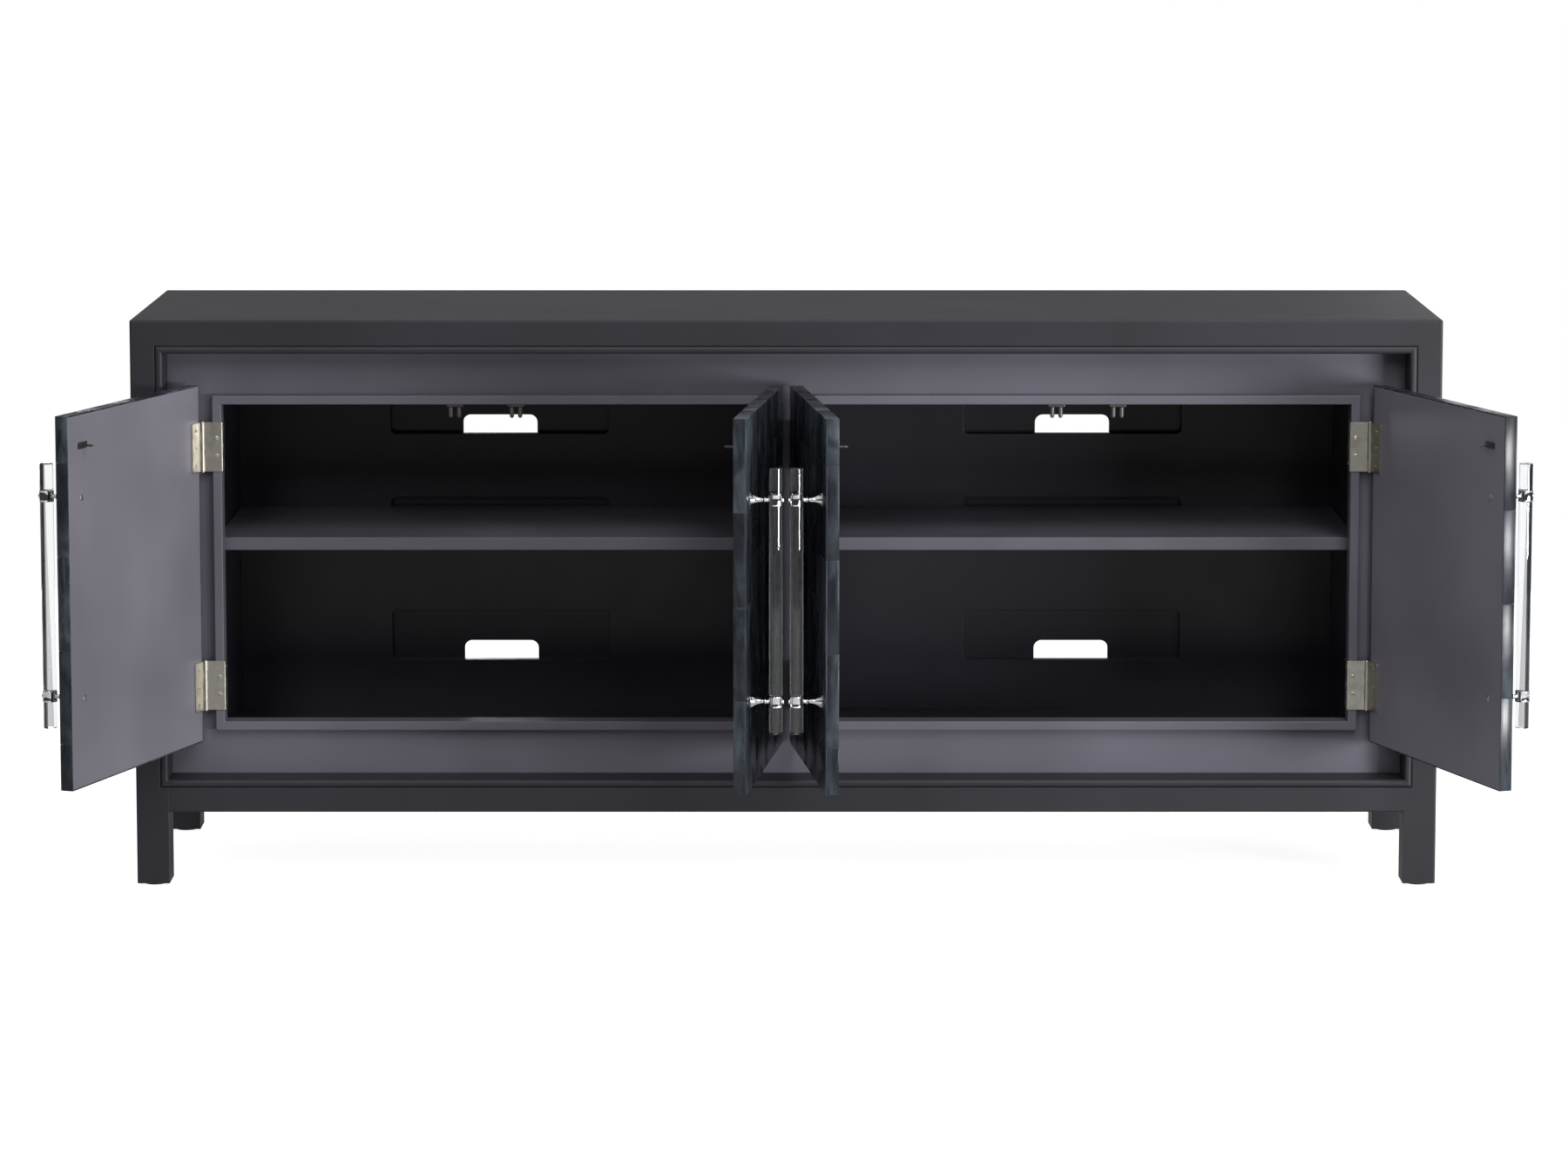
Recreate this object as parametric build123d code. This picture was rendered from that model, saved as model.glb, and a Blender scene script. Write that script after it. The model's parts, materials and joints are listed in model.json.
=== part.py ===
from build123d import *
import os

# Media cabinet: a lacquered case on four square legs with a deep framed recess in its front.
# Two open-fronted bays stand in the recess. Each has a shelf and a pair of overlay doors
# faced with glossy tiles, hung on wrap-round butt hinges and closed by double roller catches.
# X runs to the right as seen from the front, +Y to the back, +Z up. While it is being
# built, Y = 0 is the front face of the case; the last step moves the origin to the
# bottom centre of the whole cabinet with its doors standing open. Units are millimetres.

# ---------------------------------------------------------------- driving dimensions

WIDTH = 1920.0
DEPTH = 458.0
HEIGHT = 842.0
EDGE_RADIUS = 3.0           # softened arrises of the case

LEG_WIDTH = 48.0
LEG_DEPTH = 54.0
GLIDE_HEIGHT = 4.0
GLIDE_RADIUS = 17.0
GLIDE_CHAMFER = 0.8
TOP_THICKNESS = 50.0
RAIL_BOTTOM = 111.0         # underside of the case
RAIL_TOP = 160.0            # lower edge of the recess
BACK_RAIL_DEPTH = 30.0
FRONT_RAIL_LEDGE = 20.0     # front rail, behind the recessed face frame

BEAD_WIDTH = 12.0           # rounded moulding round the recess
BEAD_QUIRK = 0.4            # fine groove between the bead and the flat frame
BEAD_DEPTH = 12.0
BEAD_PROUD = 2.0
BEAD_RADIUS = 5.0

FACE_THICKNESS = 16.0       # recessed face frame, set one leg depth back
BOARD = 19.0                # shelves, bay floors, bay ceilings and bay sides

BAY_CENTRE = 443.0          # each bay's centre line, left and right of the middle
BAY_HALF_WIDTH = 402.5      # to the outside of the rim, and to the bay's side walls
RIM_HALF_HEIGHT = 250.0
RIM_THICKNESS = 13.5
RIM_FRONT = 42.0
RIM_BACK = 76.0
RIM_RADIUS = 1.5

INNER_BACK_FRONT = 424.0
INNER_BACK_THICKNESS = 16.0
OUTER_BACK_THICKNESS = 12.0
VENT_WIDTH = 337.0          # the three wide cut-outs in each inner back
VENT_HEIGHT = 78.0
VENT_SPACING = 177.0
VENT_MIDDLE_Z = 484.0
VENT_RADIUS = 8.0
PORT_WIDTH = 115.0          # the two pass-through holes behind each bay
PORT_HEIGHT = 50.0
PORT_TOPS = (296.0, 650.0)
PORT_RADIUS = 12.0

SHELF_TOP = 509.0
SHELF_FRONT = 84.0
SHELF_CLEARANCE = 1.0
SHELF_EDGE_RADIUS = 1.0
PIN_RADIUS = 2.5
PIN_REACH = 9.0
PIN_FROM_FRONT = 50.0       # front pins, behind the shelf's front edge
PIN_FROM_BACK = 60.0        # back pins, in front of the inner back

SIDE_RAIL_INSET = 4.0       # side rails, back from the legs' outer faces
SIDE_PANEL_INSET = 16.0
SIDE_PANEL_THICKNESS = 16.0
SIDE_RAIL_THICKNESS = 32.0
BEARER_WIDTH = 40.0
BEARER_THICKNESS = 13.0

DOOR_WIDTH = 411.0
DOOR_HEIGHT = 532.0
DOOR_THICKNESS = 19.0
TILE_THICKNESS = 2.0
TILE_SEAM = 0.3
TILE_COLUMNS = 4
TILE_ROWS = 4
DOOR_GAP = 3.0              # between the two doors of a bay when they are shut
OUTER_DOOR_OPEN = 110.0     # degrees, as the doors stand
INNER_DOOR_OPEN = 83.0

HINGE_HEIGHT = 73.0
HINGE_OFFSET = 178.0        # hinge centres, above and below HINGE_MIDDLE_Z
HINGE_MIDDLE_Z = 472.0
LEAF_THICKNESS = 2.0
LEAF_GAP = 2.0              # between the two leaves of a shut hinge
LEAF_REACH = 30.0           # from the pin's axis to the far edge of the door leaf
LEAF_CORNER_RADIUS = 2.0
WRAP_REACH = 25.0           # from the pin's axis back to the edge of the frame leaf
WRAP_RADIUS = 1.5
KNUCKLES = 5
KNUCKLE_RADIUS = 3.25
KNUCKLE_GAP = 0.3
HINGE_PIN_RADIUS = 1.45
HINGE_BORE_RADIUS = 1.5
BUTTON_HEIGHT = 1.4         # button at each end of a hinge pin
BUTTON_INSET = 0.4
BUTTON_ROUND = 1.0
SCREW_RADIUS = 1.75
SCREW_CLEARANCE = 0.05
SCREW_HEAD_RADIUS = 3.1
SCREW_HEAD_HEIGHT = 0.8
SCREW_HEAD_ROUND = 0.6
SCREW_PITCH = 26.0
WRAP_SCREW_Y = 14.0
DOOR_SCREW_X = 18.0
DOOR_SETBACK = 4.0          # from the pin's axis to the door's hinged edge

HANDLE_LENGTH = 378.0
HANDLE_RADIUS = 9.5
HANDLE_MIDDLE_Z = 480.0
HANDLE_POST_OFFSET = 143.0
HANDLE_FROM_EDGE = 40.0
HANDLE_STAND_OFF = 36.0     # from the door's face to the rod's axis
COLLAR_RADIUS = 10.8
COLLAR_HEIGHT = 16.0
COLLAR_CLEARANCE = 0.05
COLLAR_ROUND = 0.6
ROD_CHAMFER = 1.0
FLANGE_RADIUS = 10.0        # foot of a handle's post
FLANGE_HEIGHT = 1.6
FLARE_RADIUS = 8.5          # the post's flare starts this wide, just above the flange
FLARE_BOTTOM = 2.2
FLARE_MIDDLE = (4.3, 9.5)
FLARE_TOP = 19.0
NECK_RADIUS = 2.5
POST_SINK = 0.5             # the post stops this far short of the rod, inside the collar
DOME_RADIUS = 3.6           # domed screw head on the outside of a collar
DOME_HEIGHT = 1.6
DOME_SINK = 1.0
DOME_ROUND = 1.2
HANDLE_SCREW_RADIUS = 4.3   # head on the door's inner face, behind each post
HANDLE_SCREW_HEIGHT = 1.6
HANDLE_SCREW_ROUND = 1.0

CATCH_FROM_EDGE = 43.5      # strike and catch, from the door's free edge
CATCH_Y = 47.5
CATCH_BODY_HEIGHT = 3.5
CATCH_BODY_WIDTH = 26.0
CATCH_BODY_FRONT = 43.0
CATCH_BODY_BACK = 66.0
CATCH_BODY_RADIUS = 2.0
STRIKE_Z = 697.0
STRIKE_BASE = (26.0, 9.0)   # width and height of its plate
STRIKE_BASE_THICKNESS = 1.6
STRIKE_BASE_RADIUS = 2.0
STRIKE_NECK_RADIUS = 1.5
STRIKE_NECK_END = 11.0      # behind the pin's axis
STRIKE_HEAD_RADIUS = 2.3
STRIKE_TIP_RADIUS = 0.8
STRIKE_HEAD_LENGTH = 4.4
STRIKE_HEAD_Y = 12.8        # middle of the head, behind the pin's axis
ROLLER_RADIUS = 3.2
ROLLER_HEIGHT = 15.0
ROLLER_SPREAD = 6.1         # from the catch's centre to each roller's axis
ROLLER_PIN_RADIUS = 1.1
ROLLER_PIN_HEAD_RADIUS = 2.0
ROLLER_PIN_HEAD_HEIGHT = 1.0
ROLLER_ROUND = 0.8
ROLLER_CLEARANCE = 0.05
ROLLER_END_PLAY = 0.3

OVERRUN = 1.0               # how far a cutter runs past the faces that it cuts
TOLERANCE = 0.01            # how near an edge has to be to count as being at a place

# ---------------------------------------------------------------- derived dimensions

HALF_WIDTH = WIDTH / 2
RECESS_HALF = HALF_WIDTH - LEG_WIDTH
RECESS_TOP = HEIGHT - TOP_THICKNESS
FACE_FRONT = LEG_DEPTH
FACE_BACK = FACE_FRONT + FACE_THICKNESS
RECESS_MIDDLE_Z = (RAIL_TOP + RECESS_TOP) / 2
RIM_BOTTOM = RECESS_MIDDLE_Z - RIM_HALF_HEIGHT
RIM_TOP = RECESS_MIDDLE_Z + RIM_HALF_HEIGHT
MOUTH_TOP = RIM_TOP - RIM_THICKNESS
BAY_OUTER = BAY_CENTRE + BAY_HALF_WIDTH
BAY_INNER = BAY_CENTRE - BAY_HALF_WIDTH
FLOOR_BOTTOM = RAIL_TOP + BEARER_THICKNESS
CEILING_BOTTOM = RECESS_TOP - BOARD
INNER_BACK_REAR = INNER_BACK_FRONT + INNER_BACK_THICKNESS
OUTER_BACK_REAR = INNER_BACK_REAR + OUTER_BACK_THICKNESS
BACK_LEG_FRONT = DEPTH - LEG_DEPTH

# The leaves lie either side of the pin's axis, so the axis is in front of the rim by
# one leaf and half the gap between the leaves.
LEAF_FACE = LEAF_GAP / 2
LEAF_BACK = LEAF_FACE + LEAF_THICKNESS
PIVOT_Y = RIM_FRONT - LEAF_BACK
PIVOT_FROM_BAY = DOOR_GAP / 2 + DOOR_WIDTH + DOOR_SETBACK
DOOR_INNER_Y = -LEAF_BACK
DOOR_FACE_Y = DOOR_INNER_Y - DOOR_THICKNESS
DOOR_FREE_X = DOOR_SETBACK + DOOR_WIDTH
DOOR_BOTTOM = RECESS_MIDDLE_Z - DOOR_HEIGHT / 2
DOOR_TOP = RECESS_MIDDLE_Z + DOOR_HEIGHT / 2
HANDLE_X = DOOR_FREE_X - HANDLE_FROM_EDGE
HANDLE_Y = DOOR_FACE_Y - HANDLE_STAND_OFF
STRIKE_X = DOOR_FREE_X - CATCH_FROM_EDGE
HINGE_CENTRES = (HINGE_MIDDLE_Z - HINGE_OFFSET, HINGE_MIDDLE_Z + HINGE_OFFSET)
POST_CENTRES = (HANDLE_MIDDLE_Z - HANDLE_POST_OFFSET, HANDLE_MIDDLE_Z + HANDLE_POST_OFFSET)

# Each door: its name, its pin's X, +1 where it reaches to the right when shut and -1 where
# it reaches to the left, and how far it stands open.
DOORS = (
    ("left_outer", -BAY_CENTRE - PIVOT_FROM_BAY, 1, OUTER_DOOR_OPEN),
    ("left_inner", -BAY_CENTRE + PIVOT_FROM_BAY, -1, INNER_DOOR_OPEN),
    ("right_inner", BAY_CENTRE - PIVOT_FROM_BAY, 1, INNER_DOOR_OPEN),
    ("right_outer", BAY_CENTRE + PIVOT_FROM_BAY, -1, OUTER_DOOR_OPEN),
)

nodes = {}


# ---------------------------------------------------------------- helpers

def block(x0, x1, y0, y1, z0, z1):
    """A square-edged board between two corners, given in either order."""
    centre = Pos((x0 + x1) / 2, (y0 + y1) / 2, (z0 + z1) / 2)
    return centre * Box(abs(x1 - x0), abs(y1 - y0), abs(z1 - z0))


def rod(radius, x, y, z0, z1):
    """An upright round bar."""
    return Pos(x, y, (z0 + z1) / 2) * Cylinder(radius, z1 - z0)


def rod_along_y(radius, x, z, y0, y1):
    """A round bar that runs front to back."""
    return Pos(x, (y0 + y1) / 2, z) * Rot(90, 0, 0) * Cylinder(radius, abs(y1 - y0))


def rod_along_x(radius, y, z, x0, x1):
    """A round bar that runs left to right."""
    return Pos((x0 + x1) / 2, y, z) * Rot(0, 90, 0) * Cylinder(radius, abs(x1 - x0))


def both_sides(solid):
    """A solid and its mirror image on the other side of the cabinet."""
    return [solid, mirror(solid, about=Plane.YZ)]


def edges_at(solid, along, across, value):
    """The edges parallel to one axis that lie at a value of another axis."""
    return solid.edges().filter_by(along).filter_by_position(across, value - TOLERANCE, value + TOLERANCE)


def rounded_slot(x, z, width, height, radius, y0, y1):
    """A cutter for a rectangular hole with round corners, running front to back."""
    cutter = Pos(x, (y0 + y1) / 2, z) * Box(width, y1 - y0, height)
    return fillet(cutter.edges().filter_by(Axis.Y), radius)


def mitred_ring(x, z, half_width, half_height, band, y0, y1, radius):
    """Four mitred lengths of moulding round a rectangle, rounded along both front edges."""
    outer = [(x - half_width, z - half_height), (x + half_width, z - half_height),
             (x + half_width, z + half_height), (x - half_width, z + half_height)]
    inset_width = half_width - band
    inset_height = half_height - band
    inner = [(x - inset_width, z - inset_height), (x + inset_width, z - inset_height),
             (x + inset_width, z + inset_height), (x - inset_width, z + inset_height)]
    lengths = []
    for i in range(4):
        j = (i + 1) % 4
        outline = Polygon(outer[i], outer[j], inner[j], inner[i], align=None)
        length = extrude(Plane.XZ.offset(-y1) * outline, amount=y1 - y0)
        along = Axis.X if i % 2 == 0 else Axis.Z
        lengths.append(fillet(edges_at(length, along, Axis.Y, y0), radius))
    return lengths


# ---------------------------------------------------------------- case

def bead_rebate():
    """The rebate that the bead sits in, as one cutter."""
    half = RECESS_HALF + BEAD_WIDTH
    low = RAIL_TOP - BEAD_WIDTH
    high = RECESS_TOP + BEAD_WIDTH
    return block(-half, half, -OVERRUN, BEAD_DEPTH, low, high)


def make_top_panel():
    slab = block(-HALF_WIDTH, HALF_WIDTH, 0, DEPTH, RECESS_TOP, HEIGHT)
    corners = slab.edges().filter_by(Axis.Z)
    arris = slab.edges().group_by(Axis.Z)[-1]
    slab = fillet(corners + arris, EDGE_RADIUS)
    return [slab - bead_rebate()]


def make_leg(y0, y1):
    """A right-hand leg; its outer corners are softened."""
    leg = block(RECESS_HALF, HALF_WIDTH, y0, y1, GLIDE_HEIGHT, RECESS_TOP)
    outer = leg.edges().filter_by(Axis.Z).group_by(Axis.X)[-1]
    return fillet(outer, EDGE_RADIUS)


def make_front_legs():
    return both_sides(make_leg(0, LEG_DEPTH) - bead_rebate())


def make_back_legs():
    return both_sides(make_leg(BACK_LEG_FRONT, DEPTH))


def make_leg_glides():
    glides = []
    for y in (LEG_DEPTH / 2, DEPTH - LEG_DEPTH / 2):
        disc = rod(GLIDE_RADIUS, HALF_WIDTH - LEG_WIDTH / 2, y, 0, GLIDE_HEIGHT)
        disc = chamfer(disc.edges().group_by(Axis.Z)[0], GLIDE_CHAMFER)
        glides += both_sides(disc)
    return glides


def make_front_rail():
    """The bottom rail; its back half carries the face frame and the bearers."""
    rail = block(-RECESS_HALF, RECESS_HALF, 0, FACE_BACK + FRONT_RAIL_LEDGE, RAIL_BOTTOM, RAIL_TOP)
    arris = edges_at(rail, Axis.X, Axis.Y, 0).group_by(Axis.Z)[0]
    return [fillet(arris, EDGE_RADIUS) - bead_rebate()]


def make_back_rail():
    y0 = OUTER_BACK_REAR - BACK_RAIL_DEPTH
    return [block(-RECESS_HALF, RECESS_HALF, y0, OUTER_BACK_REAR, RAIL_BOTTOM, RAIL_TOP)]


def make_side_rails():
    outer = HALF_WIDTH - SIDE_RAIL_INSET
    inner = outer - SIDE_RAIL_THICKNESS
    return both_sides(block(inner, outer, LEG_DEPTH, BACK_LEG_FRONT, RAIL_BOTTOM, RAIL_TOP))


def make_side_panels():
    outer = HALF_WIDTH - SIDE_PANEL_INSET
    inner = outer - SIDE_PANEL_THICKNESS
    return both_sides(block(inner, outer, LEG_DEPTH, BACK_LEG_FRONT, RAIL_TOP, RECESS_TOP))


def make_bead_moulding():
    half_width = RECESS_HALF + BEAD_WIDTH - BEAD_QUIRK
    half_height = (RECESS_TOP - RAIL_TOP) / 2 + BEAD_WIDTH - BEAD_QUIRK
    band = BEAD_WIDTH - BEAD_QUIRK
    return mitred_ring(0, RECESS_MIDDLE_Z, half_width, half_height, band,
                       -BEAD_PROUD, BEAD_DEPTH, BEAD_RADIUS)


def make_recess_face():
    """Two long rails, a stile at each end and one between the bays."""
    strips = [
        block(-RECESS_HALF, RECESS_HALF, FACE_FRONT, FACE_BACK, RAIL_TOP, RIM_BOTTOM),
        block(-RECESS_HALF, RECESS_HALF, FACE_FRONT, FACE_BACK, RIM_TOP, RECESS_TOP),
        block(-BAY_INNER, BAY_INNER, FACE_FRONT, FACE_BACK, RIM_BOTTOM, RIM_TOP),
    ]
    strips += both_sides(block(BAY_OUTER, RECESS_HALF, FACE_FRONT, FACE_BACK, RIM_BOTTOM, RIM_TOP))
    return strips


# ---------------------------------------------------------------- bays

def make_bay_rims():
    rims = []
    for x in (-BAY_CENTRE, BAY_CENTRE):
        rims += mitred_ring(x, RECESS_MIDDLE_Z, BAY_HALF_WIDTH, RIM_HALF_HEIGHT, RIM_THICKNESS,
                            RIM_FRONT, RIM_BACK, RIM_RADIUS)
    return rims


def shelf_pin_places():
    """Y of the pins that carry a shelf, near its front and back."""
    return (SHELF_FRONT + PIN_FROM_FRONT, INNER_BACK_FRONT - PIN_FROM_BACK)


def make_bay_sides():
    """The two sides of each bay, bored for the shelf pins."""
    sides = []
    for wall, way in ((BAY_OUTER, 1), (BAY_INNER, -1)):
        board = block(wall, wall + way * BOARD, FACE_BACK, INNER_BACK_REAR, FLOOR_BOTTOM, RECESS_TOP)
        for y in shelf_pin_places():
            z = SHELF_TOP - BOARD - PIN_RADIUS
            board -= rod_along_x(PIN_RADIUS, y, z, wall, wall + way * PIN_REACH)
        sides += both_sides(board)
    return sides


def make_shelf_pins():
    pins = []
    for wall, way in ((BAY_OUTER, 1), (BAY_INNER, -1)):
        for y in shelf_pin_places():
            z = SHELF_TOP - BOARD - PIN_RADIUS
            pin = rod_along_x(PIN_RADIUS, y, z, wall - way * PIN_REACH, wall + way * PIN_REACH)
            pins += both_sides(pin)
    return pins


def make_bay_floors():
    z1 = FLOOR_BOTTOM + BOARD
    return both_sides(block(BAY_INNER, BAY_OUTER, FACE_BACK, INNER_BACK_FRONT, FLOOR_BOTTOM, z1))


def make_bay_ceilings():
    return both_sides(block(BAY_INNER, BAY_OUTER, FACE_BACK, INNER_BACK_FRONT, CEILING_BOTTOM, RECESS_TOP))


def make_shelves():
    x0 = BAY_INNER + SHELF_CLEARANCE
    x1 = BAY_OUTER - SHELF_CLEARANCE
    y1 = INNER_BACK_FRONT - SHELF_CLEARANCE
    shelf = block(x0, x1, SHELF_FRONT, y1, SHELF_TOP - BOARD, SHELF_TOP)
    shelf = fillet(edges_at(shelf, Axis.X, Axis.Y, SHELF_FRONT), SHELF_EDGE_RADIUS)
    return both_sides(shelf)


def make_inner_back(side):
    """One bay's inner back, with its three wide cut-outs."""
    x0 = side * BAY_INNER
    x1 = side * BAY_OUTER
    board = block(x0, x1, INNER_BACK_FRONT, INNER_BACK_REAR, FLOOR_BOTTOM, RECESS_TOP)
    for step in (-1, 0, 1):
        z = VENT_MIDDLE_Z + step * VENT_SPACING
        board -= rounded_slot(side * BAY_CENTRE, z, VENT_WIDTH, VENT_HEIGHT, VENT_RADIUS,
                              INNER_BACK_FRONT - OVERRUN, INNER_BACK_REAR + OVERRUN)
    return [board]


def make_outer_back():
    """The cabinet's back, with two pass-through holes behind each bay."""
    board = block(-RECESS_HALF, RECESS_HALF, INNER_BACK_REAR, OUTER_BACK_REAR, RAIL_TOP, RECESS_TOP)
    for x in (-BAY_CENTRE, BAY_CENTRE):
        for top in PORT_TOPS:
            board -= rounded_slot(x, top - PORT_HEIGHT / 2, PORT_WIDTH, PORT_HEIGHT, PORT_RADIUS,
                                  INNER_BACK_REAR - OVERRUN, OUTER_BACK_REAR + OVERRUN)
    return [board]


def make_floor_bearers():
    """Battens from the front rail to the back rail, under the bays' sides and middles."""
    bearers = []
    for x in (BAY_OUTER + BOARD / 2, BAY_CENTRE, BAY_INNER - BOARD / 2):
        x0 = x - BEARER_WIDTH / 2
        bearer = block(x0, x0 + BEARER_WIDTH, FACE_BACK, INNER_BACK_REAR, RAIL_TOP, FLOOR_BOTTOM)
        bearers += both_sides(bearer)
    return bearers


# ---------------------------------------------------------------- hinges
# A hinge, a door and its fittings are drawn shut, with the pin's axis at X = Y = 0 and the
# door reaching towards +X. place() mirrors them where the door reaches the other way.

def place(solids, pivot_x, way, open_angle):
    """Move solids drawn round a pin's axis to a pin of the cabinet, swung open by an angle."""
    swing = Pos(pivot_x, PIVOT_Y, 0) * Rot(0, 0, -way * open_angle)
    if way < 0:
        solids = [mirror(solid, about=Plane.YZ) for solid in solids]
    return [swing * solid for solid in solids]


def knuckle_span(centre_z, index):
    """The lower and upper end of one knuckle."""
    pitch = HINGE_HEIGHT / KNUCKLES
    z0 = centre_z - HINGE_HEIGHT / 2 + index * pitch
    return z0 + KNUCKLE_GAP / 2, z0 + pitch - KNUCKLE_GAP / 2


def make_leaf(centre_z, plate, first_knuckle):
    """A leaf: its plate is cut back beside the other leaf's knuckles and joined to its own."""
    leaf = plate
    for index in range(KNUCKLES):
        z0, z1 = knuckle_span(centre_z, index)
        if index % 2 == first_knuckle:
            leaf += rod(KNUCKLE_RADIUS, 0, 0, z0, z1)
        else:
            reach = KNUCKLE_RADIUS + KNUCKLE_GAP
            leaf -= block(-reach, reach, -reach, reach, z0 - KNUCKLE_GAP, z1 + KNUCKLE_GAP)
    bore = rod(HINGE_BORE_RADIUS, 0, 0, centre_z - HINGE_HEIGHT, centre_z + HINGE_HEIGHT)
    return leaf - bore


def rim_inner_x():
    """From the pin's axis to the inner side of the rim."""
    return PIVOT_FROM_BAY - BAY_HALF_WIDTH + RIM_THICKNESS


def make_frame_leaf(centre_z):
    """The fixed leaf lies on the rim's front and wraps round onto its inner side."""
    z0 = centre_z - HINGE_HEIGHT / 2
    z1 = centre_z + HINGE_HEIGHT / 2
    corner = rim_inner_x() + LEAF_THICKNESS
    plate = block(0, corner, LEAF_FACE, LEAF_BACK, z0, z1)
    plate += block(rim_inner_x(), corner, LEAF_FACE, WRAP_REACH, z0, z1)
    plate = fillet(edges_at(plate, Axis.Z, Axis.X, corner).group_by(Axis.Y)[0], WRAP_RADIUS)
    leaf = make_leaf(centre_z, plate, 0)
    for x, y, z, faces in frame_screw_places(centre_z):
        leaf -= screw_shank(x, y, z, faces, SCREW_RADIUS + SCREW_CLEARANCE)
    return leaf


def make_door_leaf(centre_z):
    z0 = centre_z - HINGE_HEIGHT / 2
    z1 = centre_z + HINGE_HEIGHT / 2
    plate = block(0, LEAF_REACH, -LEAF_BACK, -LEAF_FACE, z0, z1)
    plate = fillet(edges_at(plate, Axis.Y, Axis.X, LEAF_REACH), LEAF_CORNER_RADIUS)
    leaf = make_leaf(centre_z, plate, 1)
    for x, y, z, faces in door_screw_places(centre_z):
        leaf -= screw_shank(x, y, z, faces, SCREW_RADIUS + SCREW_CLEARANCE)
    return leaf


def frame_screw_places(centre_z):
    """Each screw's place on its leaf's outer face, and the way that its head faces."""
    front_x = rim_inner_x() - RIM_THICKNESS / 2
    places = [(front_x, LEAF_FACE, centre_z + step * SCREW_PITCH / 2, "front") for step in (-1, 1)]
    side_x = rim_inner_x() + LEAF_THICKNESS
    places += [(side_x, WRAP_SCREW_Y, centre_z + step * SCREW_PITCH, "side") for step in (-1, 0, 1)]
    return places


def door_screw_places(centre_z):
    return [(DOOR_SCREW_X, -LEAF_FACE, centre_z + step * SCREW_PITCH, "back") for step in (-1, 0, 1)]


def screw_shank(x, y, z, faces, radius):
    """The part of a screw that passes through its leaf."""
    if faces == "front":
        return rod_along_y(radius, x, z, y, y + LEAF_THICKNESS)
    if faces == "back":
        return rod_along_y(radius, x, z, y - LEAF_THICKNESS, y)
    return rod_along_x(radius, y, z, x - LEAF_THICKNESS, x)


def make_screw(x, y, z, faces):
    """A low round head on a short shank."""
    if faces == "front":
        head = rod_along_y(SCREW_HEAD_RADIUS, x, z, y - SCREW_HEAD_HEIGHT, y)
        rim = head.edges().group_by(Axis.Y)[0]
    elif faces == "back":
        head = rod_along_y(SCREW_HEAD_RADIUS, x, z, y, y + SCREW_HEAD_HEIGHT)
        rim = head.edges().group_by(Axis.Y)[-1]
    else:
        head = rod_along_x(SCREW_HEAD_RADIUS, y, z, x, x + SCREW_HEAD_HEIGHT)
        rim = head.edges().group_by(Axis.X)[-1]
    return fillet(rim, SCREW_HEAD_ROUND) + screw_shank(x, y, z, faces, SCREW_RADIUS)


def make_hinge_pin(centre_z):
    """A pin with a low button at each end."""
    z0 = centre_z - HINGE_HEIGHT / 2
    z1 = centre_z + HINGE_HEIGHT / 2
    pin = rod(HINGE_PIN_RADIUS, 0, 0, z0, z1)
    radius = KNUCKLE_RADIUS - BUTTON_INSET
    upper = rod(radius, 0, 0, z1, z1 + BUTTON_HEIGHT)
    lower = rod(radius, 0, 0, z0 - BUTTON_HEIGHT, z0)
    upper = fillet(upper.edges().group_by(Axis.Z)[-1], BUTTON_ROUND)
    lower = fillet(lower.edges().group_by(Axis.Z)[0], BUTTON_ROUND)
    return pin + upper + lower


def make_frame_hinge_nodes():
    """The fixed leaves, pins and screws of all eight hinges."""
    leaves = []
    pins = []
    screws = []
    for _, pivot_x, way, _ in DOORS:
        for centre_z in HINGE_CENTRES:
            leaves += place([make_frame_leaf(centre_z)], pivot_x, way, 0)
            pins += place([make_hinge_pin(centre_z)], pivot_x, way, 0)
            heads = [make_screw(*spot) for spot in frame_screw_places(centre_z)]
            screws += place(heads, pivot_x, way, 0)
    return leaves, pins, screws


# ---------------------------------------------------------------- doors

def make_core():
    """The lacquered board inside the tiles; its inner face shows."""
    return block(DOOR_SETBACK + TILE_THICKNESS, DOOR_FREE_X - TILE_THICKNESS,
                 DOOR_FACE_Y + TILE_THICKNESS, DOOR_INNER_Y,
                 DOOR_BOTTOM + TILE_THICKNESS, DOOR_TOP - TILE_THICKNESS)


def tile_rows(staggered):
    """Seam heights of one column: full tiles, or half a tile lower with halves at the ends."""
    tile = DOOR_HEIGHT / TILE_ROWS
    if staggered:
        inner = [DOOR_BOTTOM + tile * (row + 0.5) for row in range(TILE_ROWS)]
    else:
        inner = [DOOR_BOTTOM + tile * row for row in range(1, TILE_ROWS)]
    return [DOOR_BOTTOM] + inner + [DOOR_TOP]


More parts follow.
